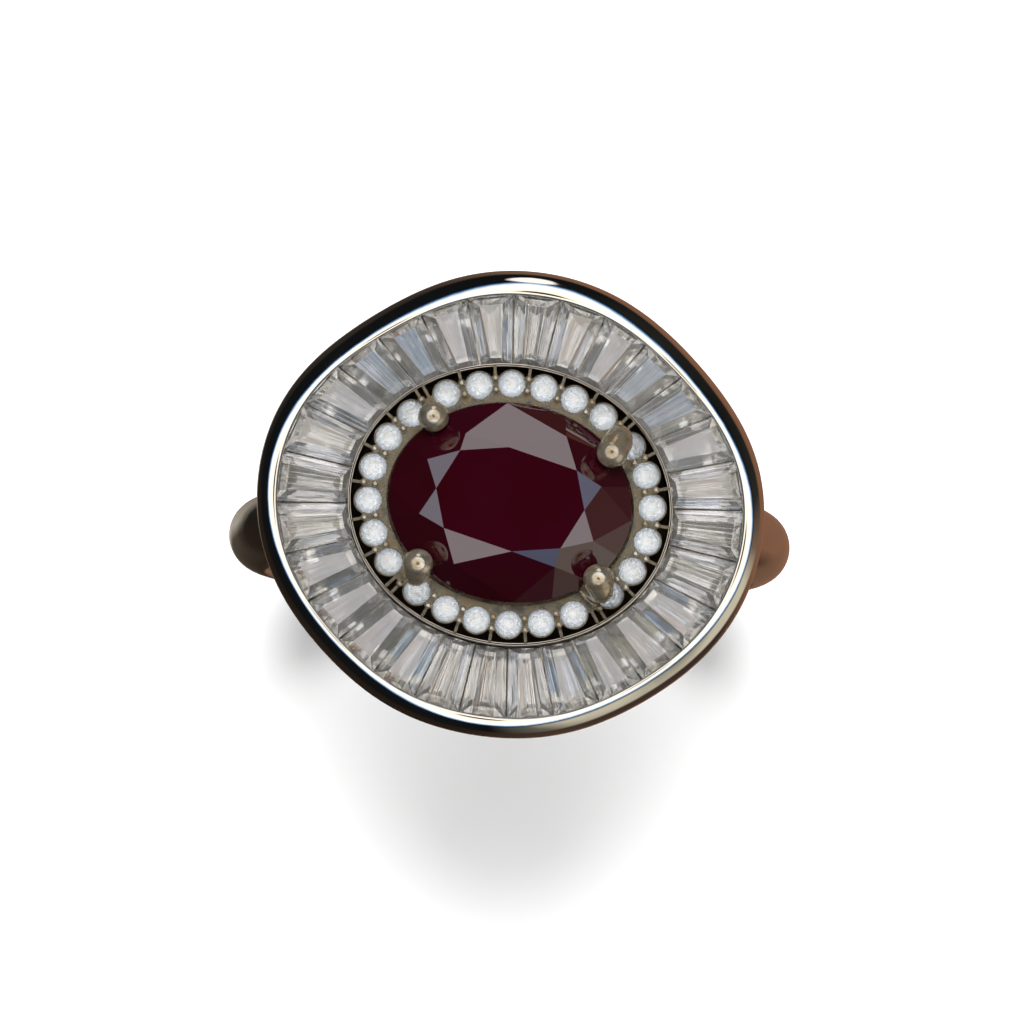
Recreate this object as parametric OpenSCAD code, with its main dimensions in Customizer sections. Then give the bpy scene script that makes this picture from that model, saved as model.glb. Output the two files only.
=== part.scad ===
// Cocktail ring. An oval ruby stands in four claws, small round stones ring it, and a waved skirt
// of tapered baguettes runs round them in a polished channel. The head is carried on a plain band.
// The finger lies along Y, +Z points up through the head, and the origin is the finger hole's centre.
// The head's own long axis is turned a little about Z, as it sits on the band.

/* [Band] */
// Radius of the finger hole
finger_r = 8.65; // [8.4:0.05:8.65]
// Radius of the band's crest
band_r = 10.35; // [10.2:0.05:10.4]
// Width of the band along the finger
band_w = 2.7; // [2.4:0.1:3]

/* [Head] */
// Turn of the head on the band, about Z
head_turn = -7; // [-12:0.5:12]
// Height of the gallery's seat above the finger hole's centre
seat_z = 10.75; // [10.7:0.05:10.9]

/* [Ruby] */
// Half of the ruby's length
ruby_a = 4.2; // [4.1:0.05:4.25]
// Half of the ruby's width
ruby_b = 3.43; // [3.4:0.01:3.48]
// Height of the ruby's girdle
ruby_z = 14.55; // [14.5:0.05:14.7]
// Height of the ruby's crown above its girdle
ruby_crown = 1.15; // [1:0.05:1.2]
// Depth of the ruby's pavilion below its girdle
ruby_pavilion = 2.95; // [2.7:0.05:3]
// Radius of the ball that tips each claw
claw_ball_r = 0.54; // [0.46:0.02:0.54]
// Radius of a claw's wire
claw_wire_r = 0.3; // [0.24:0.02:0.3]

/* [Halo] */
// Half of the halo's length, along the middle of its stones
halo_a = 4.9; // [4.85:0.01:4.95]
// Half of the halo's width, along the middle of its stones
halo_b = 4.15; // [4.1:0.01:4.2]
// Diameter of a halo stone
halo_d = 0.93; // [0.8:0.01:0.94]
// Height of the halo plate's top
plate_z = 14.15; // [14.1:0.05:14.2]

/* [Skirt] */
// Half of the skirt's inner length, where the baguettes start
skirt_a = 5.68; // [5.66:0.01:5.7]
// Half of the skirt's inner width
skirt_b = 4.94; // [4.92:0.01:4.96]
// Height of the baguettes' inner ends
skirt_z = 13.42; // [13.35:0.01:13.45]
// How many baguettes there are (the node list holds 28)
baguette_count = 28; // [28]
// Length of a baguette, along its slope
baguette_l = 2.44; // [2.36:0.02:2.48]
// How far the skirt's outer edge lies below its inner edge, on average
skirt_drop = 0.48; // [0.46:0.02:0.6]
// Height of the four waves along the skirt's outer edge, from middle to crest
skirt_wave = 0.44; // [0:0.02:0.46]
// Width of the polished rim at the head's front, where it is narrowest
rim_w = 0.64; // [0.6:0.02:0.7]
// How much wider the rim is at the head's back
rim_swell = 0.26; // [0:0.02:0.3]

/* [Hidden] */
GROUPS = ["right", "top", "left", "bottom"];
BAGUETTES = [for (i = [1:28]) str("baguette_", i < 10 ? "0" : "", i)];
$fn = 64;

SILVER = "silver";
STONE = "azure";

// A stone's faces clear the metal around them by this much
fit = 0.03;

// Band: its flat inner face, the bevel at that face's edges, and where the rounding starts
band_inner_w = band_w - 0.5;
band_bevel_r = finger_r + 0.18;
band_side_r = finger_r + 0.35;
band_steps = 16;

// Gallery: sizes of the two oval rings that rest at seat height, and of the rail above them
gallery_h = 0.6;
gallery_a = 4.6;
gallery_b = 3.8;
gallery_w = 0.8;
base_h = 0.5;
base_a = 3.2;
base_b = 2.5;
base_w = 0.9;
rail_z = 12.7;
rail_h = 0.4;
rail_w = 0.44;
strut_w = 0.6;
strut_h = 0.5;
strut_steps = 8;
// How far a strut starts inside the gallery ring and laps under the rim, and where its sweep bends
strut_root = 0.3;
strut_lap = 0.1;
strut_bend_low = 0.3;
strut_bend_high = 0.9;
saddle_a = 2.6;
saddle_b = 1.9;
saddle_h = 1.2;
shoulder_w = 2;
shoulder_steps = 10;
// Corners of a shoulder's outline, as distance from the middle and height
shoulder_foot = [7.5, 7];
shoulder_waist = [5.4, 9];
shoulder_tip = [gallery_a + 0.1, seat_z];
shoulder_back = [[gallery_a - 1.1, seat_z], [3.3, 9.2], [6.3, 7]];

// Claws: the polar angles where each wire passes the girdle. It turns upright at one height and rises
// past the halo.
claw_angles = [39, 141, 219, 321];
claw_bend_z = 13.3;
claw_neck_z = plate_z + 0.28;
claw_wire_out = 0.03;
// Above the halo it swells into an elbow outside the girdle, then a ball rests on the crown. The second
// claw is upright and the others lean outward, so each has its own angles, distances and heights.
elbow_angles = [37.5, 141, 225, 324.5];
elbow_out = [0.49, 0.08, 0.34, 0.51];
elbow_r = [0.47, 0.4, 0.42, 0.4];
elbow_up = 0.38;
ball_angles = [34, 141, 223, 327];
ball_out = [-0.05, 0.08, 0.06, 0.13];
ball_up = [0.8, 0.7, 0.72, 0.68];
// How much thinner than its ball a rod is where the two meet, and the ball at the knee over its wire
tuck = 0.03;
knee_extra = 0.02;
// How far a wire's foot is sunk into the base before it is trimmed flush
foot_sunk = 0.2;
hole_gap = 0.01;
crown_slope = 0.9;

// Stone cuts: girdle thickness, and the levels where star and lower half facets end
ruby_girdle = 0.16;
round_girdle = 0.03;
star_level = 0.72;
lower_level = 0.77;
// The ruby is cut by hand: its main facets are unevenly spaced, and opposite ones match
ruby_main_angles = [0, 32, 100, 144];
ruby_table_share = [0.61, 0.63, 0.52, 0.62];
round_table_share = 0.56;
round_crown = 0.14;
round_pavilion = 0.4;

// Baguette cut: bevel widths seen from above, crown height and girdle
bevel_side = 0.36;
bevel_outer = 0.32;
bevel_inner = 0.2;
baguette_crown = 0.25;
baguette_girdle = 0.08;
// Its pavilion is cut in steps: how far in each one ends along the sides, the depth there, the slope
// from the last step to the keel, and how much shorter the steps are at the stone's ends
step_insets = [0, 0.17, 0.36];
step_depths = [0, 0.29, 0.52];
keel_slope = 0.6;
step_end = 0.85;
// Share of the skirt's sideways slope that a flat stone follows
stone_roll = 0.6;
// Where the first baguette lies, in degrees from the head's long axis
first_stone = 1;

// Halo: the spacing of the stones in the two long groups and in the two short ones
halo_step = [13.6, 15.3, 13.6, 15.3];
halo_per_group = 6;
plate_h = 0.55;
plate_w = 0.88;
plate_gap = 0.08;
scallop_w = 0.045;
web_w = 0.1;
halo_girdle_z = plate_z - 0.03;
// Seats: the play round a stone's girdle, the flare above it, and the hole under the culet
seat_play = 0.015;
seat_flare = 0.1;
culet_hole_r = 0.2;
culet_hole_flare = 0.06;
bead_r = 0.13;
bead_post_r = 0.08;
bead_side = 0.2;

// Rim: how far its lip laps over the stones and the heights of that lip, its depth below the girdles,
// and the gap behind the stones
rim_lap = 0.07;
rim_lip_z = 0.12;
rim_edge_z = 0.2;
rim_top_z = 0.34;
rim_below = 0.95;
rim_gap = fit + 0.02;
// Its top is a quarter round that falls to the outside and leans with the skirt, and its outer side
// tucks in below
rim_round_z = -0.3;
rim_round_h = 0.72;
rim_round_arc = 88;
rim_lean = 0.6;
rim_steps = 7;
rim_tuck_low = 0.24;
rim_tuck_mid = 0.08;
ring_steps = 112;
// Wall: a thin one between halo and skirt, which stands a little lower than the halo plate. Inside its
// foot lies a flat floor that closes the pockets of the halo plate from below.
wall_w = 0.12;
wall_below = 0.85;
floor_w = 0.68;
floor_h = 0.25;
wall_z = plate_z - 0.08;
wall_a = skirt_a - 0.05;
wall_b = skirt_b - 0.05;
bar_w = 0.3;
bar_h = 0.3;
bar_below = 0.4;
bar_root = 0.15;

// ---- geometry helpers ----

function polar(r, t) = [r * cos(t), r * sin(t)];
function oval_r(a, b, t) = 1 / sqrt(pow(cos(t) / a, 2) + pow(sin(t) / b, 2));
function on_oval(a, b, t) = polar(oval_r(a, b, t), t);
function unit(v) = v / norm(v);
function oval_normal(a, b, p) = unit([p.x / (a * a), p.y / (b * b)]);
function mix(p, q, s) = p * (1 - s) + q * s;
function lift(p, z) = [p.x, p.y, z];
function reversed(list) = [for (i = [len(list) - 1:-1:0]) list[i]];

// The point where the lines n1.p = c1 and n2.p = c2 cross
function meet(n1, c1, n2, c2) =
    let (d = n1.x * n2.y - n1.y * n2.x)
    [(c1 * n2.y - c2 * n1.y) / d, (n1.x * c2 - n2.x * c1) / d];

// A curve from p to r that leaves towards q
function bend(p, q, r, steps) =
    [for (i = [0:steps]) let (s = i / steps) mix(mix(p, q, s), mix(q, r, s), s)];

module oval(a, b) {
    polygon([for (i = [0:ring_steps - 1]) on_oval(a, b, i * 360 / ring_steps)]);
}

module oval_ring(a, b, w, z, h) {
    translate([0, 0, z])
        linear_extrude(h)
            difference() {
                oval(a, b);
                oval(a - w, b - w);
            }
}

module head() {
    rotate(head_turn) children();
}

// A round rod between two points, which may taper
module rod(p, q, r1, r2) {
    d = q - p;
    translate(p)
        rotate([0, acos(d.z / norm(d)), atan2(d.y, d.x)])
            cylinder(h = norm(d), r1 = r1, r2 = r2);
}

// A flat plate standing on the radius at angle t, cut from an outline in (radius, height)
module radial_plate(t, w, outline) {
    rotate(t)
        rotate([90, 0, 0])
            translate([0, 0, -w / 2])
                linear_extrude(w) polygon(outline);
}

// A solid that joins each ring of points to the next and the last one to the first
module closed_sweep(rings) {
    n = len(rings);
    m = len(rings[0]);
    polyhedron(
        points = [for (ring = rings) each ring],
        faces = [
            for (i = [0:n - 1], j = [0:m - 1])
                let (
                    a = i * m + j,
                    b = i * m + (j + 1) % m,
                    c = (i + 1) % n * m + (j + 1) % m,
                    d = (i + 1) % n * m + j
                )
                each [[a, b, c], [a, c, d]]
        ],
        convexity = 10
    );
}

// ---- the skirt's surface, in the head's own axes ----

function skirt_fall(t) = skirt_drop - skirt_wave * cos(4 * t);
function skirt_in(t) = oval_r(skirt_a, skirt_b, t);
function skirt_out(t) = skirt_in(t) + sqrt(pow(baguette_l, 2) - pow(skirt_fall(t), 2));
function rim_z(t) = skirt_z - skirt_fall(t);
function stone_angle(i) = first_stone + i * 360 / baguette_count;

// ---- stones ----

// An oval or round brilliant with its girdle at height 0. Main facets sit at the given angles,
// and the table's corners lie at the given shares of the girdle's radius. Every facet is flat,
// and arc is how many points round off the girdle under each half facet.
module brilliant(a, b, crown, pavilion, girdle, angles, shares, arc) {
    n = len(angles);
    function next(i) = angles[(i + 1) % n] + (i + 1 == n ? 360 : 0);
    mains = [for (t = angles) on_oval(a, b, t)];
    halves = [for (i = [0:n - 1]) on_oval(a, b, (angles[i] + next(i)) / 2)];
    normals = [for (p = mains) oval_normal(a, b, p)];
    table = [for (i = [0:n - 1]) mains[i] * shares[i]];
    // Where two neighbouring main facets cross, at a level from girdle (0) to table or culet (1)
    function crossing(i, ends, level) =
        let (
            j = (i + 1) % n,
            p = mix(mains[i], ends[i], level),
            q = mix(mains[j], ends[j], level)
        )
        meet(normals[i], normals[i] * p, normals[j], normals[j] * q);
    culet = [for (p = mains) [0, 0]];
    stars = [for (i = [0:n - 1]) crossing(i, table, star_level)];
    lowers = [for (i = [0:n - 1]) crossing(i, culet, lower_level)];
    // The girdle's edge follows the half facets, which dip where the outline bulges past them
    function edge_height(p, q, apex, point, rise) =
        let (normal = unit([q.y - p.y, p.x - q.x]))
        rise * (normal * (point - p)) / (normal * (apex - p));
    span = 2 * arc;
    rim = [
        for (i = [0:n - 1], k = [0:span - 1])
            let (
                first = k < arc,
                t = angles[i] + (next(i) - angles[i]) * k / span,
                p = on_oval(a, b, t),
                from = first ? mains[i] : halves[i],
                to = first ? halves[i] : mains[(i + 1) % n]
            )
            [
                p,
                edge_height(from, to, stars[i], p, crown * star_level),
                edge_height(from, to, lowers[i], p, pavilion * lower_level)
            ]
    ];
    count = len(rim);
    points = concat(
        [for (p = table) lift(p, girdle / 2 + crown)],
        [for (p = stars) lift(p, girdle / 2 + crown * star_level)],
        [for (r = rim) lift(r[0], girdle / 2 + r[1])],
        [for (r = rim) lift(r[0], -girdle / 2 - r[2])],
        [for (p = lowers) lift(p, -girdle / 2 - pavilion * lower_level)],
        [[0, 0, -girdle / 2 - pavilion]]
    );
    star_at = n;
    top_at = 2 * n;
    low_at = top_at + count;
    lower_at = low_at + count;
    culet_at = lower_at + n;
    faces = concat(
        [[for (i = [0:n - 1]) i]],
        [
            for (i = [0:n - 1])
                let (
                    j = (i + 1) % n,
                    h = (i + n - 1) % n,
                    g = top_at + i * span,
                    f = low_at + i * span
                )
                each [
                    [i, star_at + i, j],
                    [i, star_at + h, g],
                    [i, g, star_at + i],
                    [culet_at, lower_at + i, f],
                    [culet_at, f, lower_at + h]
                ]
        ],
        [
            for (i = [0:n - 1], k = [0:span - 1])
                let (
                    here = i * span + k,
                    after = (here + 1) % count
                )
                each [
                    [star_at + i, top_at + here, top_at + after],
                    [top_at + here, low_at + here, low_at + after],
                    [top_at + here, low_at + after, top_at + after],
                    [lower_at + i, low_at + after, low_at + here]
                ]
        ]
    );
    polyhedron(points = points, faces = [for (f = faces) reversed(f)], convexity = 2);
}

module ruby_stone() {
    translate([0, 0, ruby_z])
        brilliant(
            ruby_a, ruby_b, ruby_crown, ruby_pavilion, ruby_girdle,
            concat(ruby_main_angles, [for (t = ruby_main_angles) t + 180]),
            concat(ruby_table_share, ruby_table_share),
            4
        );
}

module round_stone() {
    brilliant(
        halo_d / 2, halo_d / 2, round_crown, round_pavilion, round_girdle,
        [for (i = [0:7]) i * 45],
        [for (i = [0:7]) round_table_share],
        1
    );
}

// One tapered baguette, in its place. Its ends follow the channel's walls, its crown is one step
// of bevels, and its pavilion goes down in steps to a keel. The flat stone is laid out in plan and
// then tipped onto the skirt.
module baguette_stone(i) {
    t = stone_angle(i);
    half = 180 / baguette_count;
    trim_in = asin(fit / skirt_in(t));
    trim_out = asin(fit / skirt_out(t));
    corners = [
        polar(skirt_in(t - half), t - half + trim_in),
        polar(skirt_out(t - half), t - half + trim_out),
        polar(skirt_out(t + half), t + half - trim_out),
        polar(skirt_in(t + half), t + half - trim_in)
    ];
    normals = [
        for (j = [0:3])
            let (d = corners[(j + 1) % 4] - corners[j])
            unit([d.y, -d.x])
    ];
    function inset_line(j, by) = normals[j] * corners[j] - by;
    // The outline drawn in by a distance of its own on each side
    function outline(insets) = [
        for (j = [0:3])
            let (h = (j + 3) % 4)
            meet(normals[h], inset_line(h, insets[h]), normals[j], inset_line(j, insets[j]))
    ];
    table = outline([bevel_side, bevel_outer, bevel_side, bevel_inner]);
    steps = [for (by = step_insets) outline([by, by * step_end, by, by * step_end])];
    // The keel lies where the two long sides are inset equally, and ends where an end facet cuts it
    function keel(by) = meet(normals[0], inset_line(0, by), normals[2], inset_line(2, by));
    function past_end(j, by) = normals[j] * keel(by) - inset_line(j, by * step_end);
    function keel_inset(j) = past_end(j, 0) / (past_end(j, 0) - past_end(j, 1));
    keel_out = keel_inset(1);
    keel_in = keel_inset(3);
    along = polar(1, t);
    across = polar(1, t + 90);
    slope_along = -skirt_fall(t) / (skirt_out(t) - skirt_in(t));
    slope_across = -4 * skirt_wave * sin(4 * t) / skirt_out(t) * stone_roll;
    function tipped(p, h) =
        lift(p, skirt_z + h + slope_along * (p * along - skirt_in(t)) + slope_across * (p * across));
    g = baguette_girdle / 2;
    last = len(steps) - 1;
    function keel_depth(by) = step_depths[last] + (by - step_insets[last]) * keel_slope;
    points = concat(
        [for (p = table) tipped(p, g + baguette_crown)],
        [for (p = corners) tipped(p, g)],
        [for (k = [0:last]) each [for (p = steps[k]) tipped(p, -g - step_depths[k])]],
        [for (by = [keel_in, keel_out]) tipped(keel(by), -g - keel_depth(by))]
    );
    low = 8 + 4 * last;
    faces = concat(
        [[0, 1, 2, 3]],
        [
            for (level = [0:last + 1], j = [0:3])
                let (
                    k = (j + 1) % 4,
                    a = 4 * level,
                    b = a + 4
                )
                each [[b + j, b + k, a + k], [b + j, a + k, a + j]]
        ],
        [
            [low, low + 4, low + 5],
            [low, low + 5, low + 1],
            [low + 1, low + 5, low + 2],
            [low + 2, low + 5, low + 4],
            [low + 2, low + 4, low + 3],
            [low + 3, low + 4, low]
        ]
    );
    polyhedron(points = points, faces = [for (f = faces) reversed(f)], convexity = 2);
}

// ---- band and gallery ----

module band_solid() {
    rotate([90, 0, 0])
        rotate_extrude()
            polygon(concat(
                [[finger_r, -band_inner_w / 2], [band_bevel_r, -band_w / 2]],
                [
                    for (i = [0:band_steps])
                        let (s = -90 + i * 180 / band_steps)
                        [band_side_r + (band_r - band_side_r) * cos(s), band_w / 2 * sin(s)]
                ],
                [[band_bevel_r, band_w / 2], [finger_r, band_inner_w / 2]]
            ));
}

module shank() {
    color(SILVER) band_solid();
}

// A shoulder rises from the band's crest and carries one end of the gallery ring
module shoulder(side) {
    color(SILVER)
        difference() {
            mirror([side < 0 ? 1 : 0, 0, 0])
                rotate([90, 0, 0])
                    translate([0, 0, -shoulder_w / 2])
                        linear_extrude(shoulder_w)
                            polygon(concat(
                                bend(shoulder_foot, shoulder_waist, shoulder_tip, shoulder_steps),
                                shoulder_back
                            ));
            band_solid();
        }
}

module shoulder_left() {
    shoulder(-1);
}

module shoulder_right() {
    shoulder(1);
}

module saddle() {
    color(SILVER)
        difference() {
            translate([0, 0, seat_z - saddle_h])
                linear_extrude(saddle_h) oval(saddle_a, saddle_b);
            rotate([90, 0, 0])
                cylinder(h = 4 * saddle_b, r = band_r, center = true, $fn = 128);
        }
}

module gallery_ring() {
    color(SILVER) head() oval_ring(gallery_a, gallery_b, gallery_w, seat_z, gallery_h);
}

// Eight struts sweep up from the gallery ring to the rim's crests and dips
module gallery_struts() {
    color(SILVER)
        head()
            difference() {
                for (i = [0:7])
                    strut(i * 45);
                translate([0, 0, seat_z - 1])
                    linear_extrude(gallery_h + 2) oval(gallery_a, gallery_b);
            }
}

module strut(t) {
    start = oval_r(gallery_a, gallery_b, t) - strut_root;
    reach = skirt_out(t) + strut_lap;
    top = rim_z(t) - rim_below;
    low = seat_z + (gallery_h - strut_h) / 2;
    radial_plate(t, strut_w, concat(
        bend([start, low], [reach - strut_bend_low, low], [reach + strut_h, top], strut_steps),
        reversed(bend(
            [start, low + strut_h], [reach - strut_bend_high, low + strut_h], [reach, top], strut_steps
        ))
    ));
}

module basket_base() {
    color(SILVER) head() oval_ring(base_a, base_b, base_w, seat_z, base_h);
}

// The claws' wires sit in notches in the rail's outer side
module basket_rail() {
    lean = (rail_z + rail_h / 2 - seat_z - base_h) / (claw_bend_z - seat_z - base_h);
    a = mix(base_a - base_w / 2, ruby_a, lean);
    b = mix(base_b - base_w / 2, ruby_b, lean);
    color(SILVER)
        head()
            difference() {
                oval_ring(a, b, rail_w, rail_z, rail_h);
                for (t = claw_angles)
                    rod(claw_foot(t), claw_knee(t), claw_wire_r + hole_gap, claw_wire_r + hole_gap);
            }
}

// ---- claws ----

function claw_at(t, out, z) =
    let (p = on_oval(ruby_a, ruby_b, t))
    lift(p + oval_normal(ruby_a, ruby_b, p) * out, z);
function claw_knee(t) = claw_at(t, claw_wire_out, claw_bend_z);
function claw_foot(t) =
    lift(on_oval(base_a - base_w / 2, base_b - base_w / 2, t), seat_z + base_h - foot_sunk);

// A wire stands on the basket's base and passes the girdle, which sits in a notch. Then it swells
// into an elbow and ends in a ball over the crown.
module claw(i) {
    t = claw_angles[i];
    p = on_oval(ruby_a, ruby_b, t);
    n = oval_normal(ruby_a, ruby_b, p);
    neck = claw_at(t, claw_wire_out, claw_neck_z);
    elbow = claw_at(elbow_angles[i], elbow_out[i], ruby_z + elbow_up);
    ball = claw_at(ball_angles[i], ball_out[i], ruby_z + ball_up[i]);
    swell = elbow_r[i];
    notch = ruby_girdle / 2 + fit;
    rise = notch + crown_slope * (1 + fit);
    color(SILVER)
        head()
            difference() {
                union() {
                    rod(claw_foot(t), claw_knee(t), claw_wire_r, claw_wire_r);
                    translate(claw_knee(t)) sphere(claw_wire_r + knee_extra);
                    rod(claw_knee(t), neck, claw_wire_r, claw_wire_r);
                    rod(neck, elbow, claw_wire_r, swell - tuck);
                    translate(elbow) sphere(swell);
                    rod(elbow, ball, swell - tuck, claw_ball_r - tuck);
                    translate(ball) sphere(claw_ball_r);
                }
                translate(lift(p, ruby_z))
                    rotate(atan2(n.y, n.x))
                        rotate([90, 0, 0])
                            translate([0, 0, -1])
                                linear_extrude(2)
                                    polygon([[fit, -notch], [fit, notch], [-1, rise], [-1, -rise]]);
                translate([0, 0, seat_z + base_h - 1])
                    linear_extrude(1) oval(base_a + 1, base_b + 1);
            }
}

module claw_1() {
    claw(0);
}

module claw_2() {
    claw(1);
}

module claw_3() {
    claw(2);
}

module claw_4() {
    claw(3);
}

// ---- halo ----

function halo_angle(g, i) = g * 90 + (i - (halo_per_group - 1) / 2) * halo_step[g];
function halo_point(t) = on_oval(halo_a, halo_b, t);

// The plate is scalloped round the stones. Between them, open pockets are left beside the channel's
// wall, and a thin web crosses each pocket under the outer bead. Each stone has a tapered seat.
module halo_plate() {
    color(SILVER)
        head()
            difference() {
                translate([0, 0, plate_z - plate_h])
                    linear_extrude(plate_h) halo_outline();
                for (t = claw_angles)
                    translate(claw_at(t, claw_wire_out, claw_bend_z))
                        cylinder(h = 2, r = claw_wire_r + hole_gap);
                for (g = [0:3], i = [0:halo_per_group - 1])
                    translate(lift(halo_point(halo_angle(g, i)), halo_girdle_z)) halo_seat();
            }
}

module halo_outline() {
    difference() {
        intersection() {
            union() {
                oval(ruby_a + plate_w, ruby_b + plate_w);
                for (g = [0:3], i = [0:halo_per_group - 1])
                    translate(halo_point(halo_angle(g, i))) circle(halo_d / 2 + scallop_w);
                for (g = [0:3], i = [0:halo_per_group])
                    halo_web(g, i);
            }
            oval(wall_a - wall_w, wall_b - wall_w);
        }
        oval(ruby_a + plate_gap, ruby_b + plate_gap);
    }
}

module halo_web(g, i) {
    p = halo_point(halo_angle(g, i - 0.5));
    n = oval_normal(halo_a, halo_b, p);
    translate(p)
        rotate(atan2(n.y, n.x))
            translate([-web_w, -web_w / 2]) square([1, web_w]);
}

// The seat flares above the stone's girdle and tapers below it, and a flared hole lets light in
module halo_seat() {
    r = halo_d / 2 + seat_play;
    taper = (r - culet_hole_r) * round_pavilion / (halo_d / 2);
    low = round_girdle / 2 + taper;
    cylinder(h = plate_h, r1 = r, r2 = r + seat_flare);
    translate([0, 0, -low])
        cylinder(h = low, r1 = culet_hole_r, r2 = r);
    translate([0, 0, -plate_h])
        cylinder(h = plate_h - low + fit, r1 = culet_hole_r + culet_hole_flare, r2 = culet_hole_r);
}

module halo_stones(g) {
    color(STONE)
        head()
            for (i = [0:halo_per_group - 1])
                let (t = halo_angle(g, i))
                translate(lift(halo_point(t), halo_girdle_z))
                    rotate(t) round_stone();
}

module halo_stones_right() {
    halo_stones(0);
}

module halo_stones_top() {
    halo_stones(1);
}

module halo_stones_left() {
    halo_stones(2);
}

module halo_stones_bottom() {
    halo_stones(3);
}

// Beads stand in pairs between the stones of a group, and a group's first stone has one outside it
module halo_beads(g) {
    color(SILVER)
        head()
            for (i = [0:halo_per_group - 1])
                let (
                    t = halo_angle(g, i - 0.5),
                    p = halo_point(t),
                    n = oval_normal(halo_a, halo_b, p)
                )
                for (side = i > 0 ? [-1, 1] : [1])
                    translate(lift(p + n * side * bead_side, plate_z)) bead();
}

module bead() {
    cylinder(h = bead_r, r = bead_post_r);
    translate([0, 0, bead_r]) sphere(bead_r);
}

module halo_beads_right() {
    halo_beads(0);
}

module halo_beads_top() {
    halo_beads(1);
}

module halo_beads_left() {
    halo_beads(2);
}

module halo_beads_bottom() {
    halo_beads(3);
}

// ---- channel ----

function rim_width(t) = rim_w + rim_swell * pow((1 + sin(t)) / 2, 2);

// The rim's section at angle t, as distance outside the stones' ends and height above their girdles
function rim_section(t) =
    let (
        w = rim_width(t),
        lean = rim_lean * skirt_fall(t) / baguette_l
    )
    concat(
        [[rim_gap, -rim_below], [rim_gap, rim_lip_z], [-rim_lap, rim_edge_z], [-rim_lap, rim_top_z]],
        [
            for (i = [0:rim_steps])
                let (
                    s = rim_round_arc * (1 - i / rim_steps),
                    x = w * cos(s)
                )
                [x, rim_round_z + rim_round_h * sin(s) - x * lean]
        ],
        [[w - rim_tuck_mid, -rim_below + rim_tuck_low], [w - rim_tuck_low, -rim_below]]
    );

module channel_rim() {
    color(SILVER)
        head()
            closed_sweep([
                for (i = [0:ring_steps - 1])
                    let (t = i * 360 / ring_steps)
                    [for (p = reversed(rim_section(t))) lift(polar(skirt_out(t) + p.x, t), rim_z(t) + p.y)]
            ]);
}

module channel_wall() {
    low = skirt_z - wall_below;
    color(SILVER) head() oval_ring(wall_a, wall_b, wall_w, low, wall_z - low);
}

module channel_floor() {
    color(SILVER)
        head() oval_ring(wall_a - wall_w, wall_b - wall_w, floor_w, skirt_z - wall_below, floor_h);
}

// A bar lies in the groove under each pair of baguettes and ties the wall to the rim
module channel_bars() {
    color(SILVER)
        head()
            difference() {
                for (i = [0:baguette_count - 1])
                    channel_bar(stone_angle(i + 0.5));
                translate([0, 0, skirt_z - 2])
                    linear_extrude(3) oval(wall_a, wall_b);
            }
}

module channel_bar(t) {
    near = skirt_in(t) - bar_root;
    far = skirt_out(t) + fit;
    near_z = skirt_z - bar_below;
    far_z = rim_z(t) - bar_below;
    radial_plate(t, bar_w, [[near, near_z - bar_h], [far, far_z - bar_h], [far, far_z], [near, near_z]]);
}

// ---- ruby and baguettes ----

module ruby() {
    color("maroon") head() ruby_stone();
}

module baguette(i) {
    color(STONE) head() baguette_stone(i);
}

shank();
shoulder_left();
shoulder_right();
saddle();
gallery_ring();
gallery_struts();
basket_base();
basket_rail();
channel_rim();
channel_wall();
channel_bars();
channel_floor();
halo_plate();
halo_beads_right();
halo_beads_top();
halo_beads_left();
halo_beads_bottom();
claw_1();
claw_2();
claw_3();
claw_4();
ruby();
halo_stones_right();
halo_stones_top();
halo_stones_left();
halo_stones_bottom();
for (i = [0:len(BAGUETTES) - 1])
    baguette(i);
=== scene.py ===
import math

import bmesh
import bpy
from mathutils import Matrix, Vector


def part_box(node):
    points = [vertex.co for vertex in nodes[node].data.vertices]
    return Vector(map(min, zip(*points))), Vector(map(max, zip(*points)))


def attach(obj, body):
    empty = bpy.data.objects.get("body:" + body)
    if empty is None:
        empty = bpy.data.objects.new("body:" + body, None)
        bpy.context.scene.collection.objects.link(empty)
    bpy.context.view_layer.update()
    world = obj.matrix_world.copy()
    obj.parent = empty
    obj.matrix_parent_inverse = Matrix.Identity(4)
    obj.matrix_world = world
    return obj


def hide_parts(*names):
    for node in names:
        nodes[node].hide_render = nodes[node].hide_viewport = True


# Cocktail ring: an oval ruby in four claws, a halo of small round zirconias and a waved skirt of
# tapered baguettes in a polished channel.

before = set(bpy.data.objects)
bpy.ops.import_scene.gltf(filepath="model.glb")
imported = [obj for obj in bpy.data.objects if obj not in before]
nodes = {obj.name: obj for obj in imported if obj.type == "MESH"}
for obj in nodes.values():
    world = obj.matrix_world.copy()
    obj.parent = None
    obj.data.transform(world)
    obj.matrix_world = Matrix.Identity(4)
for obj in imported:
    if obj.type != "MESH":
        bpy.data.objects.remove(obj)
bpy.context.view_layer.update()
scene = bpy.context.scene

MM = 0.001
HEAD_TURN = math.radians(-7)

# Band
BORE_R = 8.65
BAND_R = 10.345
BAND_W = 2.7
BAND_STEPS = 144

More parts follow.
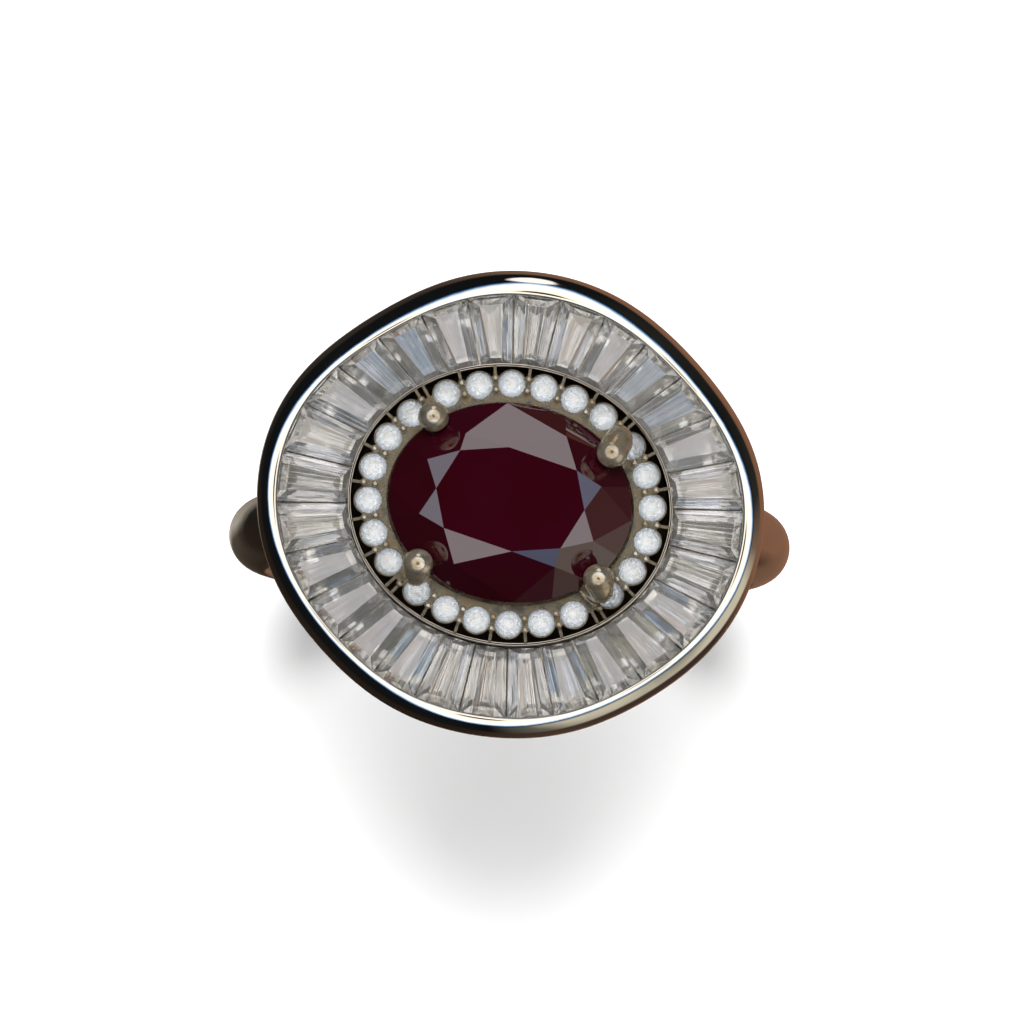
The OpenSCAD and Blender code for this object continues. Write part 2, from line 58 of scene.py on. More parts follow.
# Ruby and its claws, as in the CAD: polar angles in degrees, distances outside the girdle, heights
RUBY_A = 4.2
RUBY_B = 3.43
RUBY_Z = 14.55
NOTCH = 0.11
NOTCH_SLOPE = 0.9
CLAW_ANGLES = (39, 141, 219, 321)
ELBOW_ANGLES = (37.5, 141, 225, 324.5)
ELBOW_OUT = (0.49, 0.08, 0.34, 0.51)
ELBOW_R = (0.47, 0.4, 0.42, 0.4)
ELBOW_UP = 0.38
BALL_ANGLES = (34, 141, 223, 327)
BALL_OUT = (-0.05, 0.08, 0.06, 0.13)
BALL_UP = (0.8, 0.7, 0.72, 0.68)
BALL_R = 0.54
WIRE_R = 0.3
FOOT_A = 2.75
FOOT_B = 2.05
FOOT_Z = 11.2
KNEE_Z = 13.3
NECK_Z = 14.43

# Halo
HALO_A = 4.9
HALO_B = 4.15
HALO_STEPS = (13.6, 15.3, 13.6, 15.3)
HALO_PER_GROUP = 6
PLATE_Z = 14.15
BEAD_R = 0.13
BEAD_SIDE = 0.2

# Skirt and rim
SKIRT_A = 5.68
SKIRT_B = 4.94
SKIRT_Z = 13.42
SKIRT_DROP = 0.48
SKIRT_WAVE = 0.44
BAGUETTE_L = 2.44
RIM_W = 0.64
RIM_SWELL = 0.26
RIM_LAP = 0.07
RIM_GAP = 0.05
RIM_LOW = 0.95
RIM_LIP_Z = 0.12
RIM_EDGE_Z = 0.2
RIM_TOP_Z = 0.34
RIM_TUCK_MID = 0.08
RIM_TUCK_LOW = 0.24
RIM_ROUND_Z = -0.3
RIM_ROUND_H = 0.72
RIM_ROUND_ARC = 88
RIM_ROUND_STEPS = 12
RIM_LEAN = 0.6
RIM_STEPS = 224
RIM_INSET = 0.005


# ---- small helpers ----

def linear(code):
    """An sRGB hex colour as linear RGBA."""
    parts = [int(code[i:i + 2], 16) / 255 for i in (1, 3, 5)]
    return tuple(c / 12.92 if c <= 0.04045 else ((c + 0.055) / 1.055) ** 2.4 for c in parts) + (1.0,)


def add(tree, kind, inputs=None, **settings):
    """A node with its settings, whose inputs are set to a value or linked from a socket."""
    made = tree.nodes.new(kind)
    for name, value in settings.items():
        setattr(made, name, value)
    for name, value in (inputs or {}).items():
        if isinstance(value, bpy.types.NodeSocket):
            tree.links.new(value, made.inputs[name])
        else:
            made.inputs[name].default_value = value
    return made


def oval_r(a, b, t):
    return 1 / math.sqrt((math.cos(t) / a) ** 2 + (math.sin(t) / b) ** 2)


def on_oval(a, b, t, z=0.0):
    r = oval_r(a, b, t)
    return Vector((r * math.cos(t), r * math.sin(t), z))


def oval_normal(a, b, p):
    return Vector((p.x / a ** 2, p.y / b ** 2, 0)).normalized()


def beside_girdle(degrees, out, z):
    """A point that far outside the ruby's girdle, at height z."""
    p = on_oval(RUBY_A, RUBY_B, math.radians(degrees))
    q = p + oval_normal(RUBY_A, RUBY_B, p) * out
    return Vector((q.x, q.y, z))


def skirt_fall(t):
    return SKIRT_DROP - SKIRT_WAVE * math.cos(4 * t)


def skirt_out(t):
    return oval_r(SKIRT_A, SKIRT_B, t) + math.sqrt(BAGUETTE_L ** 2 - skirt_fall(t) ** 2)


# ---- materials ----

def new_material(name):
    made = bpy.data.materials.new(name)
    made.use_nodes = True
    tree = made.node_tree
    shader = next(n for n in tree.nodes if n.type == "BSDF_PRINCIPLED")
    return made, tree, shader


def in_mm(tree, scale=(1, 1, 1)):
    """Object coordinates in millimetres, stretched by scale."""
    place = add(tree, "ShaderNodeTexCoord")
    return add(tree, "ShaderNodeMapping", {
        "Vector": place.outputs["Object"], "Scale": tuple(s / MM for s in scale),
    }).outputs["Vector"]


def rhodium_polish():
    """Silver plated with rhodium and polished on a wheel: a mirror of rhodium's own light grey, with
    faint waves from the wheel, fine hairlines, and cloudy patches where it has been handled."""
    made, tree, shader = new_material("rhodium_plate_polished")
    here = in_mm(tree)
    clouds = add(tree, "ShaderNodeTexNoise", {"Vector": here, "Scale": 0.9, "Detail": 3.0})
    gloss = add(tree, "ShaderNodeMapRange", {
        "Value": clouds.outputs["Fac"], "From Min": 0.35, "From Max": 0.7, "To Min": 0.04, "To Max": 0.1,
    })
    tint = add(tree, "ShaderNodeValToRGB", {"Fac": clouds.outputs["Fac"]})
    tint.color_ramp.elements[0].color = linear("#bfbab0")
    tint.color_ramp.elements[1].color = linear("#cbc8c1")
    waves = add(tree, "ShaderNodeTexNoise", {"Vector": here, "Scale": 1.4, "Detail": 1.0})
    hairs = add(tree, "ShaderNodeTexNoise", {
        "Vector": in_mm(tree, (3, 3, 40)), "Scale": 1.0, "Detail": 2.0,
    })
    soft = add(tree, "ShaderNodeBump", {
        "Height": waves.outputs["Fac"], "Strength": 0.12, "Distance": 0.05 * MM,
    })
    bump = add(tree, "ShaderNodeBump", {
        "Height": hairs.outputs["Fac"], "Strength": 0.05, "Distance": 0.01 * MM,
        "Normal": soft.outputs["Normal"],
    })
    tree.links.new(tint.outputs["Color"], shader.inputs["Base Color"])
    tree.links.new(gloss.outputs["Result"], shader.inputs["Roughness"])
    tree.links.new(bump.outputs["Normal"], shader.inputs["Normal"])
    shader.inputs["Metallic"].default_value = 1.0
    return made


def filmed_silver_with_painted_reflection():
    """The same plate where a wheel can't reach, on claws and between small stones: a mirror under a
    thin olive brown film of dried polish, thicker in patches, with tiny pits from setting. On the claws
    the olive brown also stands in for the brown surroundings they mirror: a painted reflection."""
    made, tree, shader = new_material("rhodium_plate_film_and_painted_reflection")
    here = in_mm(tree)
    patches = add(tree, "ShaderNodeTexNoise", {"Vector": here, "Scale": 2.6, "Detail": 4.0})
    # The less metallic share shows the olive brown base: film, and on the claws a painted reflection
    film_and_reflection_share = add(tree, "ShaderNodeMapRange", {
        "Value": patches.outputs["Fac"], "From Min": 0.35, "From Max": 0.65, "To Min": 0.88, "To Max": 0.6,
    })
    # Olive brown colours: a film of polish, and on the claws a painted reflection of brown surroundings
    colour = add(tree, "ShaderNodeValToRGB", {"Fac": patches.outputs["Fac"]})
    colour.color_ramp.elements[0].position = 0.35
    colour.color_ramp.elements[0].color = linear("#aaa292")
    colour.color_ramp.elements[1].position = 0.65
    colour.color_ramp.elements[1].color = linear("#75674f")
    gloss = add(tree, "ShaderNodeMapRange", {
        "Value": patches.outputs["Fac"], "From Min": 0.35, "From Max": 0.65, "To Min": 0.05, "To Max": 0.14,
    })
    pits = add(tree, "ShaderNodeTexNoise", {"Vector": here, "Scale": 11.0, "Detail": 2.0})
    bump = add(tree, "ShaderNodeBump", {
        "Height": pits.outputs["Fac"], "Strength": 0.26, "Distance": 0.02 * MM,
    })
    tree.links.new(film_and_reflection_share.outputs["Result"], shader.inputs["Metallic"])
    tree.links.new(colour.outputs["Color"], shader.inputs["Base Color"])
    tree.links.new(gloss.outputs["Result"], shader.inputs["Roughness"])
    tree.links.new(bump.outputs["Normal"], shader.inputs["Normal"])
    return made


def silver_with_painted_recess_shade():
    """Silver in a recess: bright at its top edge, and painted dark below as the recess's shade."""
    made, tree, shader = new_material("silver_painted_shade_in_recess")
    here = in_mm(tree)
    place = add(tree, "ShaderNodeSeparateXYZ", {"Vector": here})
    blotches = add(tree, "ShaderNodeTexNoise", {"Vector": here, "Scale": 2.0, "Detail": 3.0})
    # Painted shade: the colour darkens below the halo plate's top, where the recess lies in shadow; noise
    # breaks the line
    height = add(tree, "ShaderNodeMath", {
        0: blotches.outputs["Fac"], 1: 0.3, 2: place.outputs["Z"],
    }, operation="MULTIPLY_ADD")
    top = add(tree, "ShaderNodeMapRange", {
        "Value": height.outputs[0], "From Min": PLATE_Z - 0.1, "From Max": PLATE_Z + 0.05,
    })
    colour = add(tree, "ShaderNodeValToRGB", {"Fac": top.outputs["Result"]})
    colour.color_ramp.elements[0].color = linear("#2b241d")
    colour.color_ramp.elements[1].color = linear("#c4bdb0")
    gloss = add(tree, "ShaderNodeMapRange", {"Value": top.outputs["Result"], "To Min": 0.45, "To Max": 0.08})
    tree.links.new(colour.outputs["Color"], shader.inputs["Base Color"])
    tree.links.new(gloss.outputs["Result"], shader.inputs["Roughness"])
    shader.inputs["Metallic"].default_value = 1.0
    return made


def tumbled_silver():
    """Cast silver that was only tumbled, under the head: greyer, with the casting's fine grain and
    a little dark tarnish where a cloth never reaches."""
    made, tree, shader = new_material("silver_cast_tumbled")
    here = in_mm(tree)
    grain = add(tree, "ShaderNodeTexNoise", {"Vector": here, "Scale": 14.0, "Detail": 3.0})
    stains = add(tree, "ShaderNodeTexNoise", {"Vector": here, "Scale": 1.1, "Detail": 4.0})
    colour = add(tree, "ShaderNodeValToRGB", {"Fac": stains.outputs["Fac"]})
    colour.color_ramp.elements[0].position = 0.3
    colour.color_ramp.elements[0].color = linear("#8a8272")
    colour.color_ramp.elements[1].position = 0.62
    colour.color_ramp.elements[1].color = linear("#cfcabf")
    gloss = add(tree, "ShaderNodeMapRange", {
        "Value": stains.outputs["Fac"], "From Min": 0.3, "From Max": 0.7, "To Min": 0.38, "To Max": 0.22,
    })
    bump = add(tree, "ShaderNodeBump", {
        "Height": grain.outputs["Fac"], "Strength": 0.35, "Distance": 0.02 * MM,
    })
    tree.links.new(colour.outputs["Color"], shader.inputs["Base Color"])
    tree.links.new(gloss.outputs["Result"], shader.inputs["Roughness"])
    tree.links.new(bump.outputs["Normal"], shader.inputs["Normal"])
    shader.inputs["Metallic"].default_value = 1.0
    return made


def ruby_crystal():
    """Corundum coloured deep by chromium, cut and polished: a dark maroon body, close to even over the
    whole stone, with purple zones and mirror facets that carry a few faint polishing lines."""
    made, tree, shader = new_material("ruby_corundum_faceted")
    lines = add(tree, "ShaderNodeTexNoise", {
        "Vector": in_mm(tree, (1, 30, 1)), "Scale": 1.0, "Detail": 2.0,
    })
    bump = add(tree, "ShaderNodeBump", {
        "Height": lines.outputs["Fac"], "Strength": 0.02, "Distance": 0.004 * MM,
    })
    zones = add(tree, "ShaderNodeTexNoise", {"Vector": in_mm(tree), "Scale": 0.35, "Detail": 2.0})
    colour = add(tree, "ShaderNodeValToRGB", {"Fac": zones.outputs["Fac"]})
    colour.color_ramp.elements[0].position = 0.38
    colour.color_ramp.elements[0].color = linear("#250308")
    colour.color_ramp.elements[1].position = 0.66
    colour.color_ramp.elements[1].color = linear("#28030e")
    tree.links.new(colour.outputs["Color"], shader.inputs["Base Color"])
    tree.links.new(bump.outputs["Normal"], shader.inputs["Normal"])
    shader.inputs["Roughness"].default_value = 0.0
    shader.inputs["IOR"].default_value = 1.77
    shader.inputs["Transmission Weight"].default_value = 0.15
    return made


def zirconia():
    """Cubic zirconia cut small and fast: colourless and very bright. Its facets aren't quite flat, which
    breaks the reflections up into sparks, and a trace of grease dulls small patches."""
    made, tree, shader = new_material("cubic_zirconia_faceted")
    here = in_mm(tree)
    smears = add(tree, "ShaderNodeTexNoise", {"Vector": here, "Scale": 1.6, "Detail": 3.0})
    gloss = add(tree, "ShaderNodeMapRange", {
        "Value": smears.outputs["Fac"], "From Min": 0.5, "From Max": 0.75, "To Min": 0.0, "To Max": 0.05,
    })
    ripples = add(tree, "ShaderNodeTexNoise", {"Vector": here, "Scale": 14.0, "Detail": 2.0})
    bump = add(tree, "ShaderNodeBump", {
        "Height": ripples.outputs["Fac"], "Strength": 0.9, "Distance": 0.03 * MM,
    })
    tree.links.new(gloss.outputs["Result"], shader.inputs["Roughness"])
    tree.links.new(bump.outputs["Normal"], shader.inputs["Normal"])
    shader.inputs["Base Color"].default_value = linear("#d3dce1")
    shader.inputs["IOR"].default_value = 2.16
    shader.inputs["Transmission Weight"].default_value = 1.0
    return made


def baguette_zirconia():
    """Step-cut zirconia, lapped lengthwise by hand: lines run along every stone, that is away from the
    head's middle, and break what it mirrors into streaks. A little milkiness greys it."""
    made, tree, shader = new_material("cubic_zirconia_step_cut")
    here = in_mm(tree)
    place = add(tree, "ShaderNodeSeparateXYZ", {"Vector": here})
    angle = add(tree, "ShaderNodeMath", {0: place.outputs["Y"], 1: place.outputs["X"]}, operation="ARCTAN2")
    reach = add(tree, "ShaderNodeVectorMath", {0: here}, operation="LENGTH")
    line_count, line_stretch = 60.0, 0.45
    turned = add(tree, "ShaderNodeMath", {0: angle.outputs[0], 1: line_count}, operation="MULTIPLY")
    along = add(tree, "ShaderNodeMath", {0: reach.outputs["Value"], 1: line_stretch}, operation="MULTIPLY")
    streaks = add(tree, "ShaderNodeCombineXYZ", {"X": turned.outputs[0], "Y": along.outputs[0]})
    lines = add(tree, "ShaderNodeTexNoise", {"Vector": streaks.outputs[0], "Scale": 1.0, "Detail": 2.0})
    bump = add(tree, "ShaderNodeBump", {
        "Height": lines.outputs["Fac"], "Strength": 0.8, "Distance": 0.03 * MM,
    })
    smears = add(tree, "ShaderNodeTexNoise", {"Vector": here, "Scale": 1.1, "Detail": 3.0})
    gloss = add(tree, "ShaderNodeMapRange", {
        "Value": smears.outputs["Fac"], "From Min": 0.35, "From Max": 0.7, "To Min": 0.0, "To Max": 0.05,
    })
    colour = add(tree, "ShaderNodeValToRGB", {"Fac": smears.outputs["Fac"]})
    colour.color_ramp.elements[0].position = 0.35
    colour.color_ramp.elements[0].color = linear("#bcbbb4")
    colour.color_ramp.elements[1].position = 0.65
    colour.color_ramp.elements[1].color = linear("#d0d1d0")
    tree.links.new(colour.outputs["Color"], shader.inputs["Base Color"])
    tree.links.new(gloss.outputs["Result"], shader.inputs["Roughness"])
    tree.links.new(bump.outputs["Normal"], shader.inputs["Normal"])
    shader.inputs["IOR"].default_value = 2.0
    shader.inputs["Transmission Weight"].default_value = 0.88
    return made


def floor_card():
    """Matt white card: a faint paper mottle."""
    made, tree, shader = new_material("white_card_matt")
    mottle = add(tree, "ShaderNodeTexNoise", {"Vector": in_mm(tree), "Scale": 0.05, "Detail": 2.0})
    colour = add(tree, "ShaderNodeValToRGB", {"Fac": mottle.outputs["Fac"]})
    colour.color_ramp.elements[0].color = linear("#f4f4f4")
    colour.color_ramp.elements[1].color = linear("#f8f8f8")
    tree.links.new(colour.outputs["Color"], shader.inputs["Base Color"])
    shader.inputs["Roughness"].default_value = 0.9
    shader.inputs["Specular IOR Level"].default_value = 0.0
    return made


POLISH = rhodium_polish()
FILM_AND_PAINTED_REFLECTION = filmed_silver_with_painted_reflection()
RECESS_WITH_PAINTED_SHADE = silver_with_painted_recess_shade()
TUMBLED = tumbled_silver()
RUBY = ruby_crystal()
ZIRCONIA = zirconia()
BAGUETTE = baguette_zirconia()


# ---- finishing pieces ----

def finish(bm, name, material, replaced, turn=HEAD_TURN, sharp=40, subdivide=0):
    """Closes a mesh that was modelled in millimetres, brings it to its place in metres, and makes the
    piece that rides on the ring's body in place of the CAD nodes."""
    bmesh.ops.remove_doubles(bm, verts=bm.verts, dist=0.0005)
    bmesh.ops.recalc_face_normals(bm, faces=bm.faces)
    bmesh.ops.rotate(bm, verts=bm.verts, cent=(0, 0, 0), matrix=Matrix.Rotation(turn, 3, "Z"))
    bmesh.ops.scale(bm, verts=bm.verts, vec=(MM, MM, MM))
    mesh = bpy.data.meshes.new(name)
    bm.to_mesh(mesh)
    bm.free()
    return dress(mesh, name, material, replaced, sharp, subdivide)


def dress(mesh, name, material, replaced, sharp, subdivide=0):
    mesh.materials.clear()
    mesh.materials.append(material)
    mesh.shade_smooth()
    mesh.set_sharp_from_angle(angle=math.radians(sharp))
    piece = bpy.data.objects.new(name, mesh)
    scene.collection.objects.link(piece)
    if subdivide:
        smooth = piece.modifiers.new("smooth", "SUBSURF")
        smooth.levels = subdivide
        smooth.render_levels = subdivide
    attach(piece, "root")
    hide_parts(*replaced)
    return piece


def softened(node, name, material, width=0.05, segments=2):
    """A copy of a CAD piece whose flat faces are joined up and whose edges are broken."""
    bm = bmesh.new()
    bm.from_mesh(nodes[node].data)
    bmesh.ops.remove_doubles(bm, verts=bm.verts, dist=0.0005 * MM)
    bmesh.ops.dissolve_limit(
        bm, angle_limit=math.radians(0.5), verts=bm.verts, edges=bm.edges, use_dissolve_boundaries=False
    )
    mesh = bpy.data.meshes.new(name)
    bm.to_mesh(mesh)
    bm.free()
    piece = dress(mesh, name, material, [node], 35)
    edge = piece.modifiers.new("broken_edges", "BEVEL")
    edge.width = width * MM
    edge.segments = segments
    edge.limit_method = "ANGLE"
    edge.angle_limit = math.radians(35)
    edge.harden_normals = True
    return piece


# ---- band ----

def band():
    """A comfort-fit band: round outside, flatter inside, spun about the finger."""
    side_r = BAND_R - BAND_W / 2
    bm = bmesh.new()
    bmesh.ops.create_circle(bm, segments=36, radius=BAND_W / 2)
    inner = [v for v in bm.verts if v.co.x < 0]
    bmesh.ops.scale(bm, verts=inner, vec=((side_r - BORE_R) / (BAND_W / 2), 1, 1))
    bmesh.ops.translate(bm, verts=bm.verts, vec=(side_r, 0, 0))
    bmesh.ops.spin(
        bm, geom=bm.verts[:] + bm.edges[:], cent=(0, 0, 0), axis=(0, 1, 0),
        angle=math.tau, steps=BAND_STEPS, use_merge=True,
    )
    finish(bm, "band", POLISH, ["shank"], turn=0, subdivide=1)


# ---- skirt ----

def rim_width(t):
    """The rim is widest at the head's back."""
    return RIM_W + RIM_SWELL * ((1 + math.sin(t)) / 2) ** 2


def rim_section():
    """The rim's section, as distance outside the stones' ends and height above their girdles. It
    stands up at the stones, falls to the outside in a quarter round, and tucks in below."""
    points = [Vector(p) for p in (
        (RIM_GAP, -RIM_LOW), (RIM_GAP, RIM_LIP_Z), (-RIM_LAP, RIM_EDGE_Z), (-RIM_LAP, RIM_TOP_Z),
    )]
    for i in range(RIM_ROUND_STEPS + 1):
        s = math.radians(RIM_ROUND_ARC * (1 - i / RIM_ROUND_STEPS))
        points.append(Vector((RIM_W * math.cos(s), RIM_ROUND_Z + RIM_ROUND_H * math.sin(s))))
    return points + [
        Vector((RIM_W - RIM_TUCK_MID, RIM_TUCK_LOW - RIM_LOW)), Vector((RIM_W - RIM_TUCK_LOW, -RIM_LOW)),
    ]


def channel_rim():
    """The section is spun round, then drawn out to the skirt's oval, to the rim's own width and along
    the skirt's waves, with which its top leans."""
    spun_r = 8.0
    bm = bmesh.new()
    loop = [bm.verts.new((spun_r + p.x, 0, p.y)) for p in rim_section()]
    for i, v in enumerate(loop):
        bm.edges.new((v, loop[(i + 1) % len(loop)]))
    bmesh.ops.spin(
        bm, geom=bm.verts[:] + bm.edges[:], cent=(0, 0, 0), axis=(0, 0, 1),
        angle=math.tau, steps=RIM_STEPS, use_merge=True,
    )
    for v in bm.verts:
        t = math.atan2(v.co.y, v.co.x)
        across = math.hypot(v.co.x, v.co.y) - spun_r
        if across > RIM_GAP + 0.01:
            across *= rim_width(t) / RIM_W
        fall = skirt_fall(t)
        lean = RIM_LEAN * fall / BAGUETTE_L if v.co.z > RIM_ROUND_Z - 0.01 else 0
        r = skirt_out(t) + across - RIM_INSET
        v.co = Vector((r * math.cos(t), r * math.sin(t), SKIRT_Z - fall + v.co.z - max(across, 0) * lean))
    finish(bm, "waved_rim", POLISH, ["channel_rim"], sharp=60, subdivide=1)


# ---- claws ----

def swept(bm, centres, radii, segments=20):
    """A round body along a path: a ring of vertices at each centre, bridged to the next, closed ends."""
    before = None
    for i, (centre, radius) in enumerate(zip(centres, radii)):
        ahead = centres[min(i + 1, len(centres) - 1)] - centres[max(i - 1, 0)]
        turned = Vector((0, 0, 1)).rotation_difference(ahead.normalized()).to_matrix().to_4x4()
        end = i in (0, len(centres) - 1)
        ring = bmesh.ops.create_circle(
            bm, segments=segments, radius=radius, cap_ends=end, matrix=Matrix.Translation(centre) @ turned
        )["verts"]
        edges = list({e for v in ring for e in v.link_edges})
        if before:
            bmesh.ops.bridge_loops(bm, edges=before + edges)
        before = edges


def eased(points, steps=8):
    """Points and radii (x, y, z, r) along a smooth curve through the given ones."""
    found = []
    last = len(points) - 1
    for i in range(last):
        p, q = points[i], points[i + 1]
        before = points[max(i - 1, 0)]
        after = points[min(i + 2, last)]
        for k in range(steps + (i == last - 1)):
            s = k / steps
            found.append(
                0.5 * (2 * p + (q - before) * s + (2 * before - 5 * p + 4 * q - after) * s * s
                       + (3 * p - before - 3 * q + after) * s ** 3)
            )
    return found


def notched(bm, degrees):
    """Seats a claw on the stone: what would lie inside the girdle or under the crown is pushed out."""
    p = on_oval(RUBY_A, RUBY_B, math.radians(degrees))
    n = oval_normal(RUBY_A, RUBY_B, p)
    for v in bm.verts:
        above = abs(v.co.z - RUBY_Z) - NOTCH
        limit = 0.03 - max(above, 0) / NOTCH_SLOPE
        short = limit - (v.co - p).dot(n)
        if short > 0:
            v.co += n * short


def claw(i):
    """A wire that stands on the basket's base, passes the girdle, swells over the halo and ends in a
    ball pushed down on the crown."""
    t = CLAW_ANGLES[i]
    stations = [
        (on_oval(FOOT_A, FOOT_B, math.radians(t), FOOT_Z), WIRE_R - 0.02),
        (beside_girdle(t, 0.03, KNEE_Z), WIRE_R),
        (beside_girdle(t, 0.03, NECK_Z), WIRE_R),
        (beside_girdle(ELBOW_ANGLES[i], ELBOW_OUT[i], RUBY_Z + ELBOW_UP), ELBOW_R[i]),
        (beside_girdle(BALL_ANGLES[i], BALL_OUT[i], RUBY_Z + BALL_UP[i]), BALL_R),
    ]
    path = eased([Vector((*p, r)) for p, r in stations])
    centres = [p.to_3d() for p in path]
    radii = [p.w for p in path]
    ball = centres[-1]
    heading = (ball - centres[-3]).normalized()
    for k in range(1, 11):
        a = math.radians(88) * k / 10
        centres.append(ball + heading * BALL_R * math.sin(a))
        radii.append(BALL_R * math.cos(a))
    bm = bmesh.new()
    swept(bm, centres, radii)
    notched(bm, t)
    name = f"claw_{i + 1}"
    # The claws' olive brown finish carries a painted reflection
    finish(bm, f"{name}_wire", FILM_AND_PAINTED_REFLECTION, [name], sharp=60)


# ---- halo ----

def halo_beads(g, name):
    """Beads raised with a graver between the stones of one group, pushed flat at the foot."""
    bm = bmesh.new()
    for i in range(HALO_PER_GROUP):
        t = math.radians(g * 90 + (i - HALO_PER_GROUP / 2) * HALO_STEPS[g])
        p = on_oval(HALO_A, HALO_B, t, PLATE_Z + BEAD_R)
        n = oval_normal(HALO_A, HALO_B, p)
        for side in (-1, 1) if i else (1,):
            bmesh.ops.create_uvsphere(
                bm, u_segments=16, v_segments=10, radius=BEAD_R,
                matrix=Matrix.Translation(p + n * side * BEAD_SIDE),
            )
            bmesh.ops.create_cone(
                bm, segments=12, radius1=BEAD_R * 0.8, radius2=BEAD_R * 0.5, depth=BEAD_R, cap_ends=True,
                matrix=Matrix.Translation(p + n * side * BEAD_SIDE - Vector((0, 0, BEAD_R / 2))),
            )
    finish(bm, f"{name}_raised", FILM_AND_PAINTED_REFLECTION, [name], sharp=60)


# ---- the studio ----

def studio_world():
    """A light tent seen by the polished faces: a bright ring round the camera's dark port, with a
    bluish outer edge, and a window beyond it at the back. Below the ring the room is black, but for a
    cream wall at the right front and copper brown things at the right. The floor is lit by lamps."""
    world = bpy.data.worlds.new("light_tent")
    scene.world = world
    world.use_nodes = True
    tree = world.node_tree
    tree.nodes.clear()
    facing = add(tree, "ShaderNodeTexCoord").outputs["Generated"]
    axes = add(tree, "ShaderNodeSeparateXYZ", {"Vector": facing})
    zenith = add(tree, "ShaderNodeMath", {0: axes.outputs["Z"]}, operation="ARCCOSINE").outputs[0]
    azimuth = add(tree, "ShaderNodeMath", {0: axes.outputs["Y"], 1: axes.outputs["X"]}, operation="ARCTAN2")
    down = add(tree, "ShaderNodeMath", {0: zenith, 1: math.pi}, operation="DIVIDE").outputs[0]
    round_about = add(tree, "ShaderNodeMath", {
        0: azimuth.outputs[0], 1: 1 / math.tau, 2: 0.5,
    }, operation="MULTIPLY_ADD").outputs[0]

    def ramp(value, first, last, stops):
        """Colours at degrees of zenith or azimuth angle; value runs from the first to the last."""
        made = add(tree, "ShaderNodeValToRGB", {"Fac": value})
        elements = made.color_ramp.elements
        while len(elements) < len(stops):
            elements.new(0.5)
        for element, (degrees, colour) in zip(elements, stops):
            element.position = (degrees - first) / (last - first)
            element.color = (*colour, 1)
        return made.outputs["Color"]

    def below(degrees, soft):
        """0 above a zenith angle and 1 below it."""
        return add(tree, "ShaderNodeMapRange", {
            "Value": down, "From Min": (degrees - soft) / 180, "From Max": (degrees + soft) / 180,
        }).outputs[0]

    def blend(share, first, second):
        return add(tree, "ShaderNodeMixRGB", {"Fac": share, "Color1": first, "Color2": second}).outputs[0]

    black = (0.010, 0.011, 0.013)
    umber = (0.030, 0.020, 0.015)
    copper = (0.34, 0.165, 0.10)
    cream = (0.95, 0.90, 0.74)
    walls = ramp(round_about, -180, 180, [
        (-180, black), (-90, black), (-66, (0.2, 0.19, 0.16)), (-50, cream), (-25, cream),
        (-5, (0.3, 0.2, 0.15)), (22, (0.04, 0.04, 0.035)), (60, black), (180, black),
    ])
    low_walls = ramp(round_about, -180, 180, [
        (-180, umber), (-105, umber), (-70, (0.10, 0.06, 0.045)), (-40, (0.06, 0.04, 0.035)), (-12, copper),
        (65, copper), (95, (0.26, 0.16, 0.11)), (120, (0.05, 0.04, 0.035)), (160, (0.02, 0.018, 0.017)),
        (180, umber),
    ])
    table = ramp(round_about, -180, 180, [
        (-180, (0.10, 0.08, 0.06)), (-120, umber), (-60, (0.20, 0.11, 0.07)), (0, (0.30, 0.15, 0.09)),
        (70, (0.30, 0.15, 0.10)), (115, (0.24, 0.18, 0.15)), (160, (0.5, 0.47, 0.4)),
        (180, (0.10, 0.08, 0.06)),
    ])
    dark_gap = add(tree, "ShaderNodeVectorMath", {0: walls, "Scale": below(59, 4)}, operation="SCALE")
    room = blend(below(145, 6), blend(below(103, 5), dark_gap.outputs[0], low_walls), table)
    tent = ramp(down, 0, 180, [
        (0, (0, 0, 0)), (11, (0, 0, 0)), (15, (0.95, 0.86, 0.68)), (30, (1.0, 0.96, 0.97)),
        (45, (1.0, 0.96, 0.98)), (50, (0.35, 0.55, 0.8)), (54, (0.03, 0.08, 0.2)), (58, (0, 0, 0)),
    ])

    def patch(zen, az, inner, outer):
        """1 within the inner angle of a direction, falling to 0 at the outer one."""
        z, a = math.radians(zen), math.radians(az)
        centre = (math.sin(z) * math.cos(a), math.sin(z) * math.sin(a), math.cos(z))
        dot = add(tree, "ShaderNodeVectorMath", {0: facing, 1: centre}, operation="DOT_PRODUCT")
        return add(tree, "ShaderNodeMapRange", {
            "Value": dot.outputs["Value"], "From Min": math.cos(math.radians(outer)),
            "From Max": math.cos(math.radians(inner)), "To Min": 0.0, "To Max": 1.0,
        }).outputs[0]

    def plus(base, colour, strength):
        scaled = add(tree, "ShaderNodeVectorMath", {0: colour, "Scale": strength}, operation="SCALE")
        return add(tree, "ShaderNodeVectorMath", {0: base, 1: scaled.outputs[0]}).outputs[0]

    light = plus(room, tent, 2.15)
    light = plus(light, (2.0, 1.9, 1.95), patch(67, 90, 11, 14))
    sky = add(tree, "ShaderNodeBackground", {"Color": light, "Strength": 1.0})
    add(tree, "ShaderNodeOutputWorld", {"Surface": sky.outputs[0]})
    world.cycles_visibility.diffuse = False


def lamp(name, zen, az, distance, size, watts):
    """A round soft lamp for the floor card and whatever is matt on the ring. It isn't mirrored there."""
    z, a = math.radians(zen), math.radians(az)
    away = Vector((math.sin(z) * math.cos(a), math.sin(z) * math.sin(a), math.cos(z)))
    data = bpy.data.lights.new(name, "AREA")
    data.shape = "DISK"
    data.size = size
    data.energy = watts
    made = bpy.data.objects.new(name, data)
    scene.collection.objects.link(made)
    made.location = away * distance
    made.rotation_euler = (-away).to_track_quat("-Z", "Y").to_euler()
    made.visible_glossy = False
    made.visible_transmission = False
    return made


